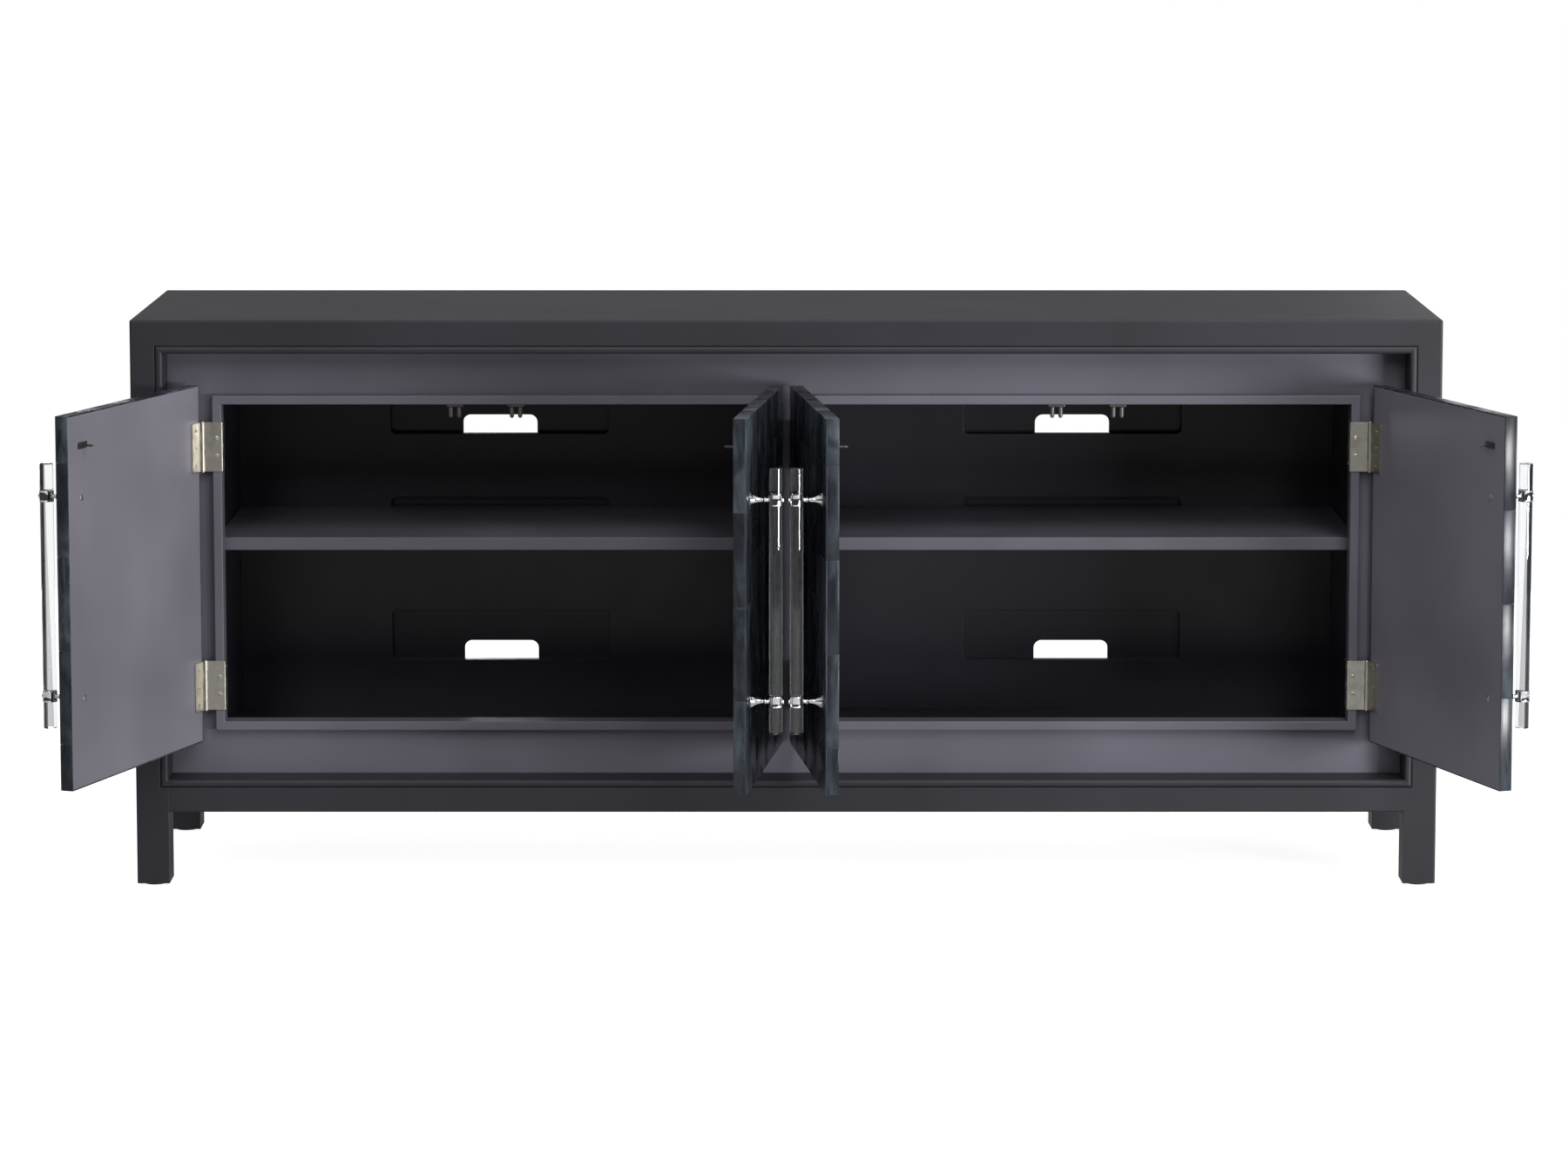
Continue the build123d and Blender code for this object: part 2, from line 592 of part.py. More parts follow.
def make_tiles(first_staggered):
    """Tiles on the front, set half-drop from column to column, and a strip along each edge."""
    pieces = []
    column_width = DOOR_WIDTH / TILE_COLUMNS
    half_seam = TILE_SEAM / 2
    for column in range(TILE_COLUMNS):
        x0 = DOOR_SETBACK + column * column_width
        x1 = x0 + column_width
        left = x0 if column == 0 else x0 + half_seam
        right = x1 if column == TILE_COLUMNS - 1 else x1 - half_seam
        seams = tile_rows((column % 2 == 1) != first_staggered)
        for low, high in zip(seams, seams[1:]):
            bottom = low if low == DOOR_BOTTOM else low + half_seam
            top = high if high == DOOR_TOP else high - half_seam
            pieces.append(block(left, right, DOOR_FACE_Y, DOOR_FACE_Y + TILE_THICKNESS, bottom, top))
    y0 = DOOR_FACE_Y + TILE_THICKNESS
    inner_bottom = DOOR_BOTTOM + TILE_THICKNESS
    inner_top = DOOR_TOP - TILE_THICKNESS
    pieces += [
        block(DOOR_SETBACK, DOOR_SETBACK + TILE_THICKNESS, y0, DOOR_INNER_Y, DOOR_BOTTOM, DOOR_TOP),
        block(DOOR_FREE_X - TILE_THICKNESS, DOOR_FREE_X, y0, DOOR_INNER_Y, DOOR_BOTTOM, DOOR_TOP),
        block(DOOR_SETBACK + TILE_THICKNESS, DOOR_FREE_X - TILE_THICKNESS,
              y0, DOOR_INNER_Y, DOOR_BOTTOM, inner_bottom),
        block(DOOR_SETBACK + TILE_THICKNESS, DOOR_FREE_X - TILE_THICKNESS,
              y0, DOOR_INNER_Y, inner_top, DOOR_TOP),
    ]
    return pieces


def make_handle_rod():
    bar = rod(HANDLE_RADIUS, HANDLE_X, HANDLE_Y,
              HANDLE_MIDDLE_Z - HANDLE_LENGTH / 2, HANDLE_MIDDLE_Z + HANDLE_LENGTH / 2)
    ends = bar.edges().group_by(Axis.Z)
    return chamfer(ends[0] + ends[-1], ROD_CHAMFER)


def make_handle_post(centre_z):
    """A flared stem from the door to a collar that holds the rod."""
    reach = HANDLE_STAND_OFF - HANDLE_RADIUS - POST_SINK
    outline = Polyline((NECK_RADIUS, FLARE_TOP), (NECK_RADIUS, reach), (0, reach), (0, 0),
                       (FLANGE_RADIUS, 0), (FLANGE_RADIUS, FLANGE_HEIGHT), (FLARE_RADIUS, FLARE_BOTTOM))
    outline += ThreePointArc((FLARE_RADIUS, FLARE_BOTTOM), FLARE_MIDDLE, (NECK_RADIUS, FLARE_TOP))
    stem = revolve(Plane.XZ * make_face(outline), Axis.Z)
    stem = Pos(HANDLE_X, DOOR_FACE_Y, centre_z) * Rot(90, 0, 0) * stem
    low = centre_z - COLLAR_HEIGHT / 2
    high = centre_z + COLLAR_HEIGHT / 2
    collar = rod(COLLAR_RADIUS, HANDLE_X, HANDLE_Y, low, high)
    ends = collar.edges().group_by(Axis.Z)
    collar = fillet(ends[0] + ends[-1], COLLAR_ROUND)
    bore = rod(HANDLE_RADIUS + COLLAR_CLEARANCE, HANDLE_X, HANDLE_Y, low - OVERRUN, high + OVERRUN)
    return stem + collar - bore


def make_handle_dome(centre_z):
    """The small domed screw head on the outer side of a collar."""
    outside = HANDLE_Y - COLLAR_RADIUS
    dome = rod_along_y(DOME_RADIUS, HANDLE_X, centre_z, outside - DOME_HEIGHT, outside + DOME_SINK)
    dome = fillet(dome.edges().group_by(Axis.Y)[0], DOME_ROUND)
    half = COLLAR_HEIGHT / 2
    return dome - rod(COLLAR_RADIUS, HANDLE_X, HANDLE_Y, centre_z - half, centre_z + half)


def make_handle_screw(centre_z):
    """The head on the door's inner face of the screw that draws a post tight."""
    head = rod_along_y(HANDLE_SCREW_RADIUS, HANDLE_X, centre_z,
                       DOOR_INNER_Y, DOOR_INNER_Y + HANDLE_SCREW_HEIGHT)
    return fillet(head.edges().group_by(Axis.Y)[-1], HANDLE_SCREW_ROUND)


def make_strike():
    """A spear on a small base plate; it is pushed in between the catch's rollers."""
    half_width = STRIKE_BASE[0] / 2
    half_height = STRIKE_BASE[1] / 2
    base = block(STRIKE_X - half_width, STRIKE_X + half_width,
                 DOOR_INNER_Y, DOOR_INNER_Y + STRIKE_BASE_THICKNESS,
                 STRIKE_Z - half_height, STRIKE_Z + half_height)
    base = fillet(base.edges().filter_by(Axis.Y), STRIKE_BASE_RADIUS)
    neck = rod_along_y(STRIKE_NECK_RADIUS, STRIKE_X, STRIKE_Z, DOOR_INNER_Y, STRIKE_NECK_END)
    spear = Cone(STRIKE_HEAD_RADIUS, STRIKE_TIP_RADIUS, STRIKE_HEAD_LENGTH)
    head = Pos(STRIKE_X, STRIKE_HEAD_Y, STRIKE_Z) * Rot(-90, 0, 0) * spear
    return base + neck + head


def make_door_nodes(name, pivot_x, way, open_angle):
    first_staggered = way < 0
    screws = [make_screw(*spot) for centre_z in HINGE_CENTRES for spot in door_screw_places(centre_z)]
    screws += [make_handle_screw(z) for z in POST_CENTRES]
    posts = [make_handle_post(z) for z in POST_CENTRES] + [make_handle_dome(z) for z in POST_CENTRES]
    drawn = {
        "door_core": [make_core()],
        "door_tiles": make_tiles(first_staggered),
        "hinge_leaves": [make_door_leaf(z) for z in HINGE_CENTRES],
        "door_screws": screws,
        "handle_rod": [make_handle_rod()],
        "handle_posts": posts,
        "strike": [make_strike()],
    }
    placed = {}
    for piece, solids in drawn.items():
        placed[f"{name}_{piece}"] = place(solids, pivot_x, way, open_angle)
    return placed


# ---------------------------------------------------------------- catches

def catch_centres():
    """Name and X of each catch, one for each door."""
    return [(name, pivot_x + way * STRIKE_X) for name, pivot_x, way, _ in DOORS]


def roller_top():
    return MOUTH_TOP - CATCH_BODY_HEIGHT - ROLLER_END_PLAY


def make_catch_bodies():
    """A plate under the rim's top with two headed pins hanging from it, for each door."""
    pieces = []
    z0 = MOUTH_TOP - CATCH_BODY_HEIGHT
    pin_end = roller_top() - ROLLER_HEIGHT - ROLLER_END_PLAY
    for _, x in catch_centres():
        body = block(x - CATCH_BODY_WIDTH / 2, x + CATCH_BODY_WIDTH / 2,
                     CATCH_BODY_FRONT, CATCH_BODY_BACK, z0, MOUTH_TOP)
        pieces.append(fillet(body.edges().filter_by(Axis.Z), CATCH_BODY_RADIUS))
        for step in (-1, 1):
            axis_x = x + step * ROLLER_SPREAD
            pin = rod(ROLLER_PIN_RADIUS, axis_x, CATCH_Y, pin_end, z0)
            head = rod(ROLLER_PIN_HEAD_RADIUS, axis_x, CATCH_Y, pin_end - ROLLER_PIN_HEAD_HEIGHT, pin_end)
            pieces.append(pin + head)
    return pieces


def make_roller(x):
    top = roller_top()
    roller = rod(ROLLER_RADIUS, x, CATCH_Y, top - ROLLER_HEIGHT, top)
    ends = roller.edges().group_by(Axis.Z)
    roller = fillet(ends[0] + ends[-1], ROLLER_ROUND)
    bore = rod(ROLLER_PIN_RADIUS + ROLLER_CLEARANCE, x, CATCH_Y, top - ROLLER_HEIGHT - OVERRUN, top + OVERRUN)
    return roller - bore


# ---------------------------------------------------------------- whole cabinet

nodes["top_panel"] = make_top_panel()
nodes["front_legs"] = make_front_legs()
nodes["back_legs"] = make_back_legs()
nodes["leg_glides"] = make_leg_glides()
nodes["front_rail"] = make_front_rail()
nodes["back_rail"] = make_back_rail()
nodes["side_rails"] = make_side_rails()
nodes["side_panels"] = make_side_panels()
nodes["bead_moulding"] = make_bead_moulding()
nodes["recess_face"] = make_recess_face()
nodes["bay_rims"] = make_bay_rims()
nodes["bay_sides"] = make_bay_sides()
nodes["bay_floors"] = make_bay_floors()
nodes["bay_ceilings"] = make_bay_ceilings()
nodes["left_inner_back"] = make_inner_back(-1)
nodes["right_inner_back"] = make_inner_back(1)
nodes["outer_back"] = make_outer_back()
nodes["shelves"] = make_shelves()
nodes["shelf_pins"] = make_shelf_pins()
nodes["floor_bearers"] = make_floor_bearers()

frame_leaves, hinge_pins, frame_screws = make_frame_hinge_nodes()
nodes["hinge_frame_leaves"] = frame_leaves
nodes["hinge_pins"] = hinge_pins
nodes["hinge_frame_screws"] = frame_screws

nodes["catch_bodies"] = make_catch_bodies()
for door_name, catch_x in catch_centres():
    nodes[f"{door_name}_roller_a"] = [make_roller(catch_x - ROLLER_SPREAD)]
    nodes[f"{door_name}_roller_b"] = [make_roller(catch_x + ROLLER_SPREAD)]

for door in DOORS:
    nodes.update(make_door_nodes(*door))

# The origin is the bottom centre of the cabinet with its doors as they stand open.
everything = Compound(children=[solid for solids in nodes.values() for solid in solids])
origin_y = everything.bounding_box().center().Y
to_origin = Pos(0, -origin_y, 0)

os.makedirs("parts", exist_ok=True)
for node_name, solids in nodes.items():
    moved = [to_origin * solid for solid in solids]
    export_step(Compound(children=moved), f"parts/{node_name}.step")

print(f"{len(nodes)} nodes, front face of the case at Y = {-origin_y:.3f}")
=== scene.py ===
import json
import math
import random

import bmesh
import bpy
from mathutils import Matrix, Vector


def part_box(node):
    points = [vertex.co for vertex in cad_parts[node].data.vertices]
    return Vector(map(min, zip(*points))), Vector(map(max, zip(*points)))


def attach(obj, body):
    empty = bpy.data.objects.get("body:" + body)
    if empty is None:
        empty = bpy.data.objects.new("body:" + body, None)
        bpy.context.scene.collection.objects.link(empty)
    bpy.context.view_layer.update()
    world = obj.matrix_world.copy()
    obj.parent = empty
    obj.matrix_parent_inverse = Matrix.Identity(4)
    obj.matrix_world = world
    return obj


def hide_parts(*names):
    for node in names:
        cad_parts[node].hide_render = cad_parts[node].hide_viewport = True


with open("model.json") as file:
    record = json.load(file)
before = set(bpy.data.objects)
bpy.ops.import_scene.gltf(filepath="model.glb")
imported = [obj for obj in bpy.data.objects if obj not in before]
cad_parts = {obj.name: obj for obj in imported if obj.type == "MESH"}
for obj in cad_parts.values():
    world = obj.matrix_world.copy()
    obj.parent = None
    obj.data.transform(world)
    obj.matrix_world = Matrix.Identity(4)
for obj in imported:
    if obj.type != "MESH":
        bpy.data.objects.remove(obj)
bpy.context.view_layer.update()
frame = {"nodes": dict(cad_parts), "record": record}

# Media cabinet: the CAD case, bays, hinges and catches carry lacquer, nickel and nylon
# materials, and the tiles, handles and screws are rebuilt here as finer meshes.
# Everything is in metres. A door's pieces are drawn shut round its hinge pin, with the
# door reaching towards +X, and are then swung to where the door stands at rest.

JOINTS = {joint["name"]: joint for joint in frame["record"]["behaviour"]["joints"]}

DOOR_WIDTH = 0.411
DOOR_HEIGHT = 0.532
DOOR_THICKNESS = 0.019
DOOR_SETBACK = 0.004        # from the pin's axis to the hinged edge
DOOR_INNER_Y = -0.003       # inner face, in front of the pin's axis
DOOR_MIDDLE_Z = 0.476
TILE_THICKNESS = 0.002
TILE_SEAM = 0.0004
TILE_BEVEL = 0.0005
TILE_COLUMNS = 4
TILE_ROWS = 4
OUTER_DOOR_OPEN = 110.0
INNER_DOOR_OPEN = 83.0

HANDLE_LENGTH = 0.378
HANDLE_RADIUS = 0.0095
HANDLE_MIDDLE_Z = 0.480
HANDLE_FROM_EDGE = 0.040
HANDLE_STAND_OFF = 0.036
HANDLE_POST_OFFSET = 0.143
COLLAR_RADIUS = 0.0108
COLLAR_HEIGHT = 0.016

HINGE_CENTRES = (0.294, 0.650)
SCREW_PITCH = 0.026
LEAF_FACE = 0.001
LEAF_THICKNESS = 0.002
LEAF_SCREW_X = 0.018
LEAF_SCREW_RADIUS = 0.0031
LEAF_SCREW_HEIGHT = 0.0008
HANDLE_SCREW_RADIUS = 0.0043
HANDLE_SCREW_HEIGHT = 0.0016
RIM_INNER_X = 0.0275        # from the pin's axis to the inner side of the rim
RIM_THICKNESS = 0.0135
WRAP_SCREW_Y = 0.014

DOOR_FACE_Y = DOOR_INNER_Y - DOOR_THICKNESS
DOOR_FREE_X = DOOR_SETBACK + DOOR_WIDTH
DOOR_BOTTOM = DOOR_MIDDLE_Z - DOOR_HEIGHT / 2
DOOR_TOP = DOOR_MIDDLE_Z + DOOR_HEIGHT / 2
HANDLE_X = DOOR_FREE_X - HANDLE_FROM_EDGE
HANDLE_Y = DOOR_FACE_Y - HANDLE_STAND_OFF

# Each door: name, +1 where it reaches to the right when shut or -1 to the left, opening.
DOORS = (
    ("left_outer", 1, OUTER_DOOR_OPEN),
    ("left_inner", -1, INNER_DOOR_OPEN),
    ("right_inner", 1, INNER_DOOR_OPEN),
    ("right_outer", -1, OUTER_DOOR_OPEN),
)


# ---------------------------------------------------------------- shader helpers

def new_material(name):
    material = bpy.data.materials.new(name)
    material.use_nodes = True
    return material, material.node_tree, material.node_tree.nodes["Principled BSDF"]


def add(tree, kind, **settings):
    """A shader node with some of its properties and unlinked inputs set."""
    node = tree.nodes.new(kind)
    for key, value in settings.items():
        if hasattr(node, key):
            setattr(node, key, value)
        else:
            node.inputs[key].default_value = value
    return node


def object_coordinates(tree, scale=(1, 1, 1)):
    """Object space, stretched along each axis."""
    source = add(tree, "ShaderNodeTexCoord")
    mapping = add(tree, "ShaderNodeMapping")
    mapping.inputs["Scale"].default_value = scale
    tree.links.new(source.outputs["Object"], mapping.inputs["Vector"])
    return mapping.outputs["Vector"]


def noise(tree, vector, scale, detail=3.0, roughness=0.5, distortion=0.0):
    node = add(tree, "ShaderNodeTexNoise")
    node.inputs["Scale"].default_value = scale
    node.inputs["Detail"].default_value = detail
    node.inputs["Roughness"].default_value = roughness
    node.inputs["Distortion"].default_value = distortion
    tree.links.new(vector, node.inputs["Vector"])
    return node.outputs["Fac"]


def remap(tree, value, low, high, to_low, to_high):
    """A value's range low..high moved to to_low..to_high, clamped."""
    node = add(tree, "ShaderNodeMapRange")
    for name, number in (("From Min", low), ("From Max", high), ("To Min", to_low), ("To Max", to_high)):
        node.inputs[name].default_value = number
    tree.links.new(value, node.inputs["Value"])
    return node.outputs["Result"]


def mix_colours(tree, factor, first, second):
    """first where the factor is 0, second where it is 1; each a colour or a socket."""
    node = add(tree, "ShaderNodeMix", data_type="RGBA")
    sockets = [socket for socket in node.inputs if socket.type == "RGBA"]
    tree.links.new(factor, node.inputs["Factor"])
    for socket, colour in zip(sockets, (first, second)):
        if isinstance(colour, bpy.types.NodeSocket):
            tree.links.new(colour, socket)
        else:
            socket.default_value = (*colour, 1.0)
    return [socket for socket in node.outputs if socket.type == "RGBA"][0]


def bump(tree, height, strength, distance, normal=None):
    node = add(tree, "ShaderNodeBump")
    node.inputs["Strength"].default_value = strength
    node.inputs["Distance"].default_value = distance
    tree.links.new(height, node.inputs["Height"])
    if normal is not None:
        tree.links.new(normal, node.inputs["Normal"])
    return node.outputs["Normal"]


def soft_edge(tree, radius):
    """The normal of the surface as if its edges were rounded, and how near an edge it is."""
    bevel = add(tree, "ShaderNodeBevel", samples=4)
    bevel.inputs["Radius"].default_value = radius
    geometry = add(tree, "ShaderNodeNewGeometry")
    dot = add(tree, "ShaderNodeVectorMath", operation="DOT_PRODUCT")
    tree.links.new(bevel.outputs["Normal"], dot.inputs[0])
    tree.links.new(geometry.outputs["Normal"], dot.inputs[1])
    return bevel.outputs["Normal"], remap(tree, dot.outputs["Value"], 0.75, 0.995, 1.0, 0.0)


def lacquer(name, colour, edge_colour, roughness, specular, peel_strength=0.04, edge_wear_and_highlight=0.9):
    """Sprayed lacquer: faint cloudiness, a fine orange-peel skin, and edges paler, partly as worn spots and
    partly as a painted highlight along the arrises.
    """
    material, tree, shader = new_material(name)
    space = object_coordinates(tree)
    clouds = noise(tree, space, 3.5, 2.0)
    darker = tuple(channel * 0.86 for channel in colour)
    lighter = tuple(channel * 1.14 for channel in colour)
    body = mix_colours(tree, remap(tree, clouds, 0.35, 0.65, 0, 1), darker, lighter)
    rounded, edge = soft_edge(tree, 0.0016)
    # Paler edges: partly worn spots, partly a painted highlight standing for light along the arrises.
    wear_and_highlight_mask = add(tree, "ShaderNodeMath", operation="MULTIPLY")
    tree.links.new(edge, wear_and_highlight_mask.inputs[0])
    wear_and_highlight_amount = remap(tree, noise(tree, space, 45.0, 3.0), 0.3, 0.7, edge_wear_and_highlight * 0.4, edge_wear_and_highlight)
    tree.links.new(wear_and_highlight_amount, wear_and_highlight_mask.inputs[1])
    tree.links.new(mix_colours(tree, wear_and_highlight_mask.outputs[0], body, edge_colour), shader.inputs["Base Color"])
    dust = noise(tree, space, 18.0, 4.0, 0.6)
    gloss = remap(tree, dust, 0.3, 0.7, roughness - 0.02, roughness + 0.025)
    tree.links.new(gloss, shader.inputs["Roughness"])
    peel = noise(tree, space, 420.0, 1.0)
    tree.links.new(bump(tree, peel, peel_strength, 0.0003, rounded), shader.inputs["Normal"])
    shader.inputs["Specular IOR Level"].default_value = specular
    return material


def horn_tile():
    """Polished dark horn: slate streaks that run up each tile, different from tile to tile, and a painted
    highlight along each tile's edges.
    """
    material, tree, shader = new_material("horn_tile")
    tone = add(tree, "ShaderNodeAttribute", attribute_name="tile_tone")
    shift = add(tree, "ShaderNodeAttribute", attribute_name="tile_shift")
    source = add(tree, "ShaderNodeTexCoord")
    moved = add(tree, "ShaderNodeVectorMath", operation="ADD")
    tree.links.new(source.outputs["Object"], moved.inputs[0])
    tree.links.new(shift.outputs["Vector"], moved.inputs[1])
    stretch = add(tree, "ShaderNodeMapping")
    stretch.inputs["Scale"].default_value = (1.0, 1.0, 0.16)
    tree.links.new(moved.outputs["Vector"], stretch.inputs["Vector"])
    streaks = noise(tree, stretch.outputs["Vector"], 55.0, 5.0, 0.55, 0.9)
    clouds = noise(tree, moved.outputs["Vector"], 11.0, 3.0, 0.5, 1.4)
    blend = add(tree, "ShaderNodeMath", operation="MULTIPLY")
    tree.links.new(remap(tree, streaks, 0.35, 0.68, 0.0, 1.0), blend.inputs[0])
    tree.links.new(remap(tree, clouds, 0.38, 0.66, 0.15, 1.0), blend.inputs[1])
    deep = mix_colours(tree, tone.outputs["Fac"], (0.0034, 0.0040, 0.0056), (0.0110, 0.0135, 0.0180))
    pale = mix_colours(tree, tone.outputs["Fac"], (0.0180, 0.0225, 0.0300), (0.0780, 0.0970, 0.1190))
    colour = mix_colours(tree, blend.outputs[0], deep, pale)
    rounded, edge = soft_edge(tree, 0.0008)
    # Painted highlight: a pale slate colour mixed in along every tile's edges, standing for light along the
    # arrises.
    fine = remap(tree, edge, 0.0, 1.0, 0.0, 0.35)
    tree.links.new(mix_colours(tree, fine, colour, (0.16, 0.185, 0.21)), shader.inputs["Base Color"])
    tree.links.new(remap(tree, streaks, 0.3, 0.7, 0.21, 0.36), shader.inputs["Roughness"])
    waves = noise(tree, stretch.outputs["Vector"], 60.0, 3.0, 0.6, 0.5)
    tree.links.new(bump(tree, waves, 0.22, 0.0010, rounded), shader.inputs["Normal"])
    shader.inputs["Specular IOR Level"].default_value = 0.24
    return material


def metal(name, colour, roughness, brushed, bump_strength):
    """Metal with fine brush lines along the given stretch and faint smudges."""
    material, tree, shader = new_material(name)
    space = object_coordinates(tree)
    lines = noise(tree, object_coordinates(tree, brushed), 260.0, 3.0, 0.6)
    smudges = noise(tree, space, 60.0, 3.0, 0.6)
    dull = tuple(channel * 0.78 for channel in colour)
    rounded, edge = soft_edge(tree, 0.0004)
    toned = mix_colours(tree, remap(tree, smudges, 0.35, 0.7, 0.0, 1.0), colour, dull)
    # Painted highlight: a brighter copy of the metal's colour mixed in along the edges.
    painted_highlight_colour = tuple(min(1.0, channel * 1.25) for channel in colour)
    tree.links.new(mix_colours(tree, edge, toned, painted_highlight_colour), shader.inputs["Base Color"])
    gloss = remap(tree, smudges, 0.3, 0.7, roughness * 0.8, roughness * 1.25)
    tree.links.new(gloss, shader.inputs["Roughness"])
    tree.links.new(bump(tree, lines, bump_strength, 0.0002, rounded), shader.inputs["Normal"])
    shader.inputs["Metallic"].default_value = 1.0
    return material


def clear_acrylic():
    """Cast acrylic rod, with the faintest scuffs in its polish."""
    material, tree, shader = new_material("clear_acrylic")
    space = object_coordinates(tree)
    scuffs = noise(tree, space, 140.0, 4.0, 0.6)
    tree.links.new(remap(tree, scuffs, 0.45, 0.8, 0.0, 0.02), shader.inputs["Roughness"])
    tint = mix_colours(tree, noise(tree, space, 9.0, 2.0), (0.94, 0.97, 0.98), (0.98, 0.99, 1.0))
    tree.links.new(tint, shader.inputs["Base Color"])
    tree.links.new(bump(tree, scuffs, 0.004, 0.0001), shader.inputs["Normal"])
    shader.inputs["Transmission Weight"].default_value = 1.0
    shader.inputs["IOR"].default_value = 1.49
    return material


def moulded_plastic(name, colour, roughness):
    """Injection-moulded plastic with a fine spark-eroded grain."""
    material, tree, shader = new_material(name)
    space = object_coordinates(tree)
    grain = noise(tree, space, 1500.0, 2.0)
    patches = noise(tree, space, 70.0, 2.0)
    paler = tuple(min(1.0, channel * 1.2 + 0.01) for channel in colour)
    rounded, edge = soft_edge(tree, 0.0004)
    toned = mix_colours(tree, remap(tree, patches, 0.35, 0.65, 0.0, 0.6), colour, paler)
    # Painted highlight: the paler colour mixed in along the edges; the same paler colour also tints random
    # patches.
    tree.links.new(mix_colours(tree, edge, toned, paler), shader.inputs["Base Color"])
    gloss = remap(tree, patches, 0.3, 0.7, roughness - 0.06, roughness + 0.06)
    tree.links.new(gloss, shader.inputs["Roughness"])
    tree.links.new(bump(tree, grain, 0.15, 0.0002, rounded), shader.inputs["Normal"])
    return material


def raw_wood():
    """Planed softwood, with its grain running front to back."""
    material, tree, shader = new_material("raw_wood")
    grain = noise(tree, object_coordinates(tree, (1.0, 0.05, 1.0)), 90.0, 5.0, 0.6, 0.6)
    pores = noise(tree, object_coordinates(tree, (1.0, 0.02, 1.0)), 500.0, 2.0)
    colour = mix_colours(tree, remap(tree, grain, 0.3, 0.7, 0.0, 1.0), (0.42, 0.28, 0.15), (0.62, 0.46, 0.28))
    tree.links.new(colour, shader.inputs["Base Color"])
    tree.links.new(remap(tree, grain, 0.3, 0.7, 0.55, 0.75), shader.inputs["Roughness"])
    rounded, _ = soft_edge(tree, 0.001)
    tree.links.new(bump(tree, pores, 0.3, 0.0004, rounded), shader.inputs["Normal"])
    return material


# Each lacquer's second colour is its paler edge colour: worn spots and a painted highlight along the arrises.
MATERIALS = {
    "case_lacquer": lacquer("case_lacquer", (0.0152, 0.0144, 0.0187), (0.045, 0.043, 0.053),
                            0.48, 0.23),
    "recess_lacquer": lacquer("recess_lacquer", (0.071, 0.068, 0.085), (0.14, 0.137, 0.16),
                              0.42, 0.30),
    # The bay lacquer is near black: partly its own colour, partly painted shade for the darkness deep in the
    # bays.
    "bay_lacquer": lacquer("bay_lacquer", (0.0105, 0.0100, 0.0165), (0.022, 0.022, 0.030),
                           0.32, 0.38, peel_strength=0.012, edge_wear_and_highlight=0.5),
    "door_lacquer": lacquer("door_lacquer", (0.115, 0.110, 0.131), (0.20, 0.195, 0.22), 0.36, 0.38),
    "horn_tile": horn_tile(),
    "clear_acrylic": clear_acrylic(),
    "polished_chrome": metal("polished_chrome", (0.80, 0.80, 0.82), 0.06, (1, 1, 1), 0.01),
    "satin_nickel": metal("satin_nickel", (0.41, 0.39, 0.345), 0.36, (1, 1, 0.06), 0.18),
    "black_plastic": moulded_plastic("black_plastic", (0.012, 0.012, 0.013), 0.42),
    "dark_nylon": moulded_plastic("dark_nylon", (0.045, 0.036, 0.033), 0.38),
    "raw_wood": raw_wood(),
    "glide": moulded_plastic("glide", (0.03, 0.03, 0.032), 0.6),
}


def dress_cad_nodes():
    """Gives each CAD node the material of its record slot."""
    for part in frame["record"]["subparts"]:
        node = frame["nodes"][part["node"]]
        for index in range(len(node.data.materials)):
            node.data.materials[index] = MATERIALS[part["material_slot"]]


# ---------------------------------------------------------------- mesh helpers

def door_place(name, way, opening):
    """From a door's drawn place to where it stands at rest; mirrored if it reaches left."""
    pin = JOINTS[name + "_door_hinge"]["pos_m"]
    swing = Matrix.Rotation(math.radians(-way * opening), 4, "Z")
    return Matrix.Translation((pin[0], pin[1], 0)) @ swing @ Matrix.Scale(way, 4, (1, 0, 0))


def piece(name, mesh_builder, material, body, place=Matrix.Identity(4)):
    """Turns a bmesh into an object in its place, with its material and the body it rides on."""
    mesh_builder.transform(place)
    bmesh.ops.recalc_face_normals(mesh_builder, faces=mesh_builder.faces)
    mesh = bpy.data.meshes.new(name)
    mesh_builder.to_mesh(mesh)
    mesh_builder.free()
    mesh.materials.append(material)
    made = bpy.data.objects.new(name, mesh)
    bpy.context.collection.objects.link(made)
    mesh.shade_smooth()
    mesh.set_sharp_from_angle(angle=math.radians(35))
    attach(made, body)
    return made


def lathe(builder, profile, place=Matrix.Identity(4), steps=64):
    """Turns a profile of (radius, height) points round Z; it ends on the axis or where it began."""
    rings = []
    closed = profile[0] == profile[-1]
    for radius, height in profile[:-1] if closed else profile:
        if radius < 1e-6:
            rings.append([builder.verts.new(place @ Vector((0, 0, height)))])
            continue
        ring = []
        for step in range(steps):
            turn = 2 * math.pi * step / steps
            point = Vector((radius * math.cos(turn), radius * math.sin(turn), height))
            ring.append(builder.verts.new(place @ point))
        rings.append(ring)
    if closed:
        rings.append(rings[0])
    for low, high in zip(rings, rings[1:]):
        for step in range(steps):
            corners = [low[step % len(low)], low[(step + 1) % len(low)],
                       high[(step + 1) % len(high)], high[step % len(high)]]
            unique = list(dict.fromkeys(corners))
            if len(unique) > 2:
                builder.faces.new(unique)


def arc(centre, radius, start, end, steps=6):
    """Points of an arc in a profile, from one angle to another in degrees."""
    points = []
    for step in range(steps + 1):
        turn = math.radians(start + (end - start) * step / steps)
        points.append((centre[0] + radius * math.cos(turn), centre[1] + radius * math.sin(turn)))
    return points


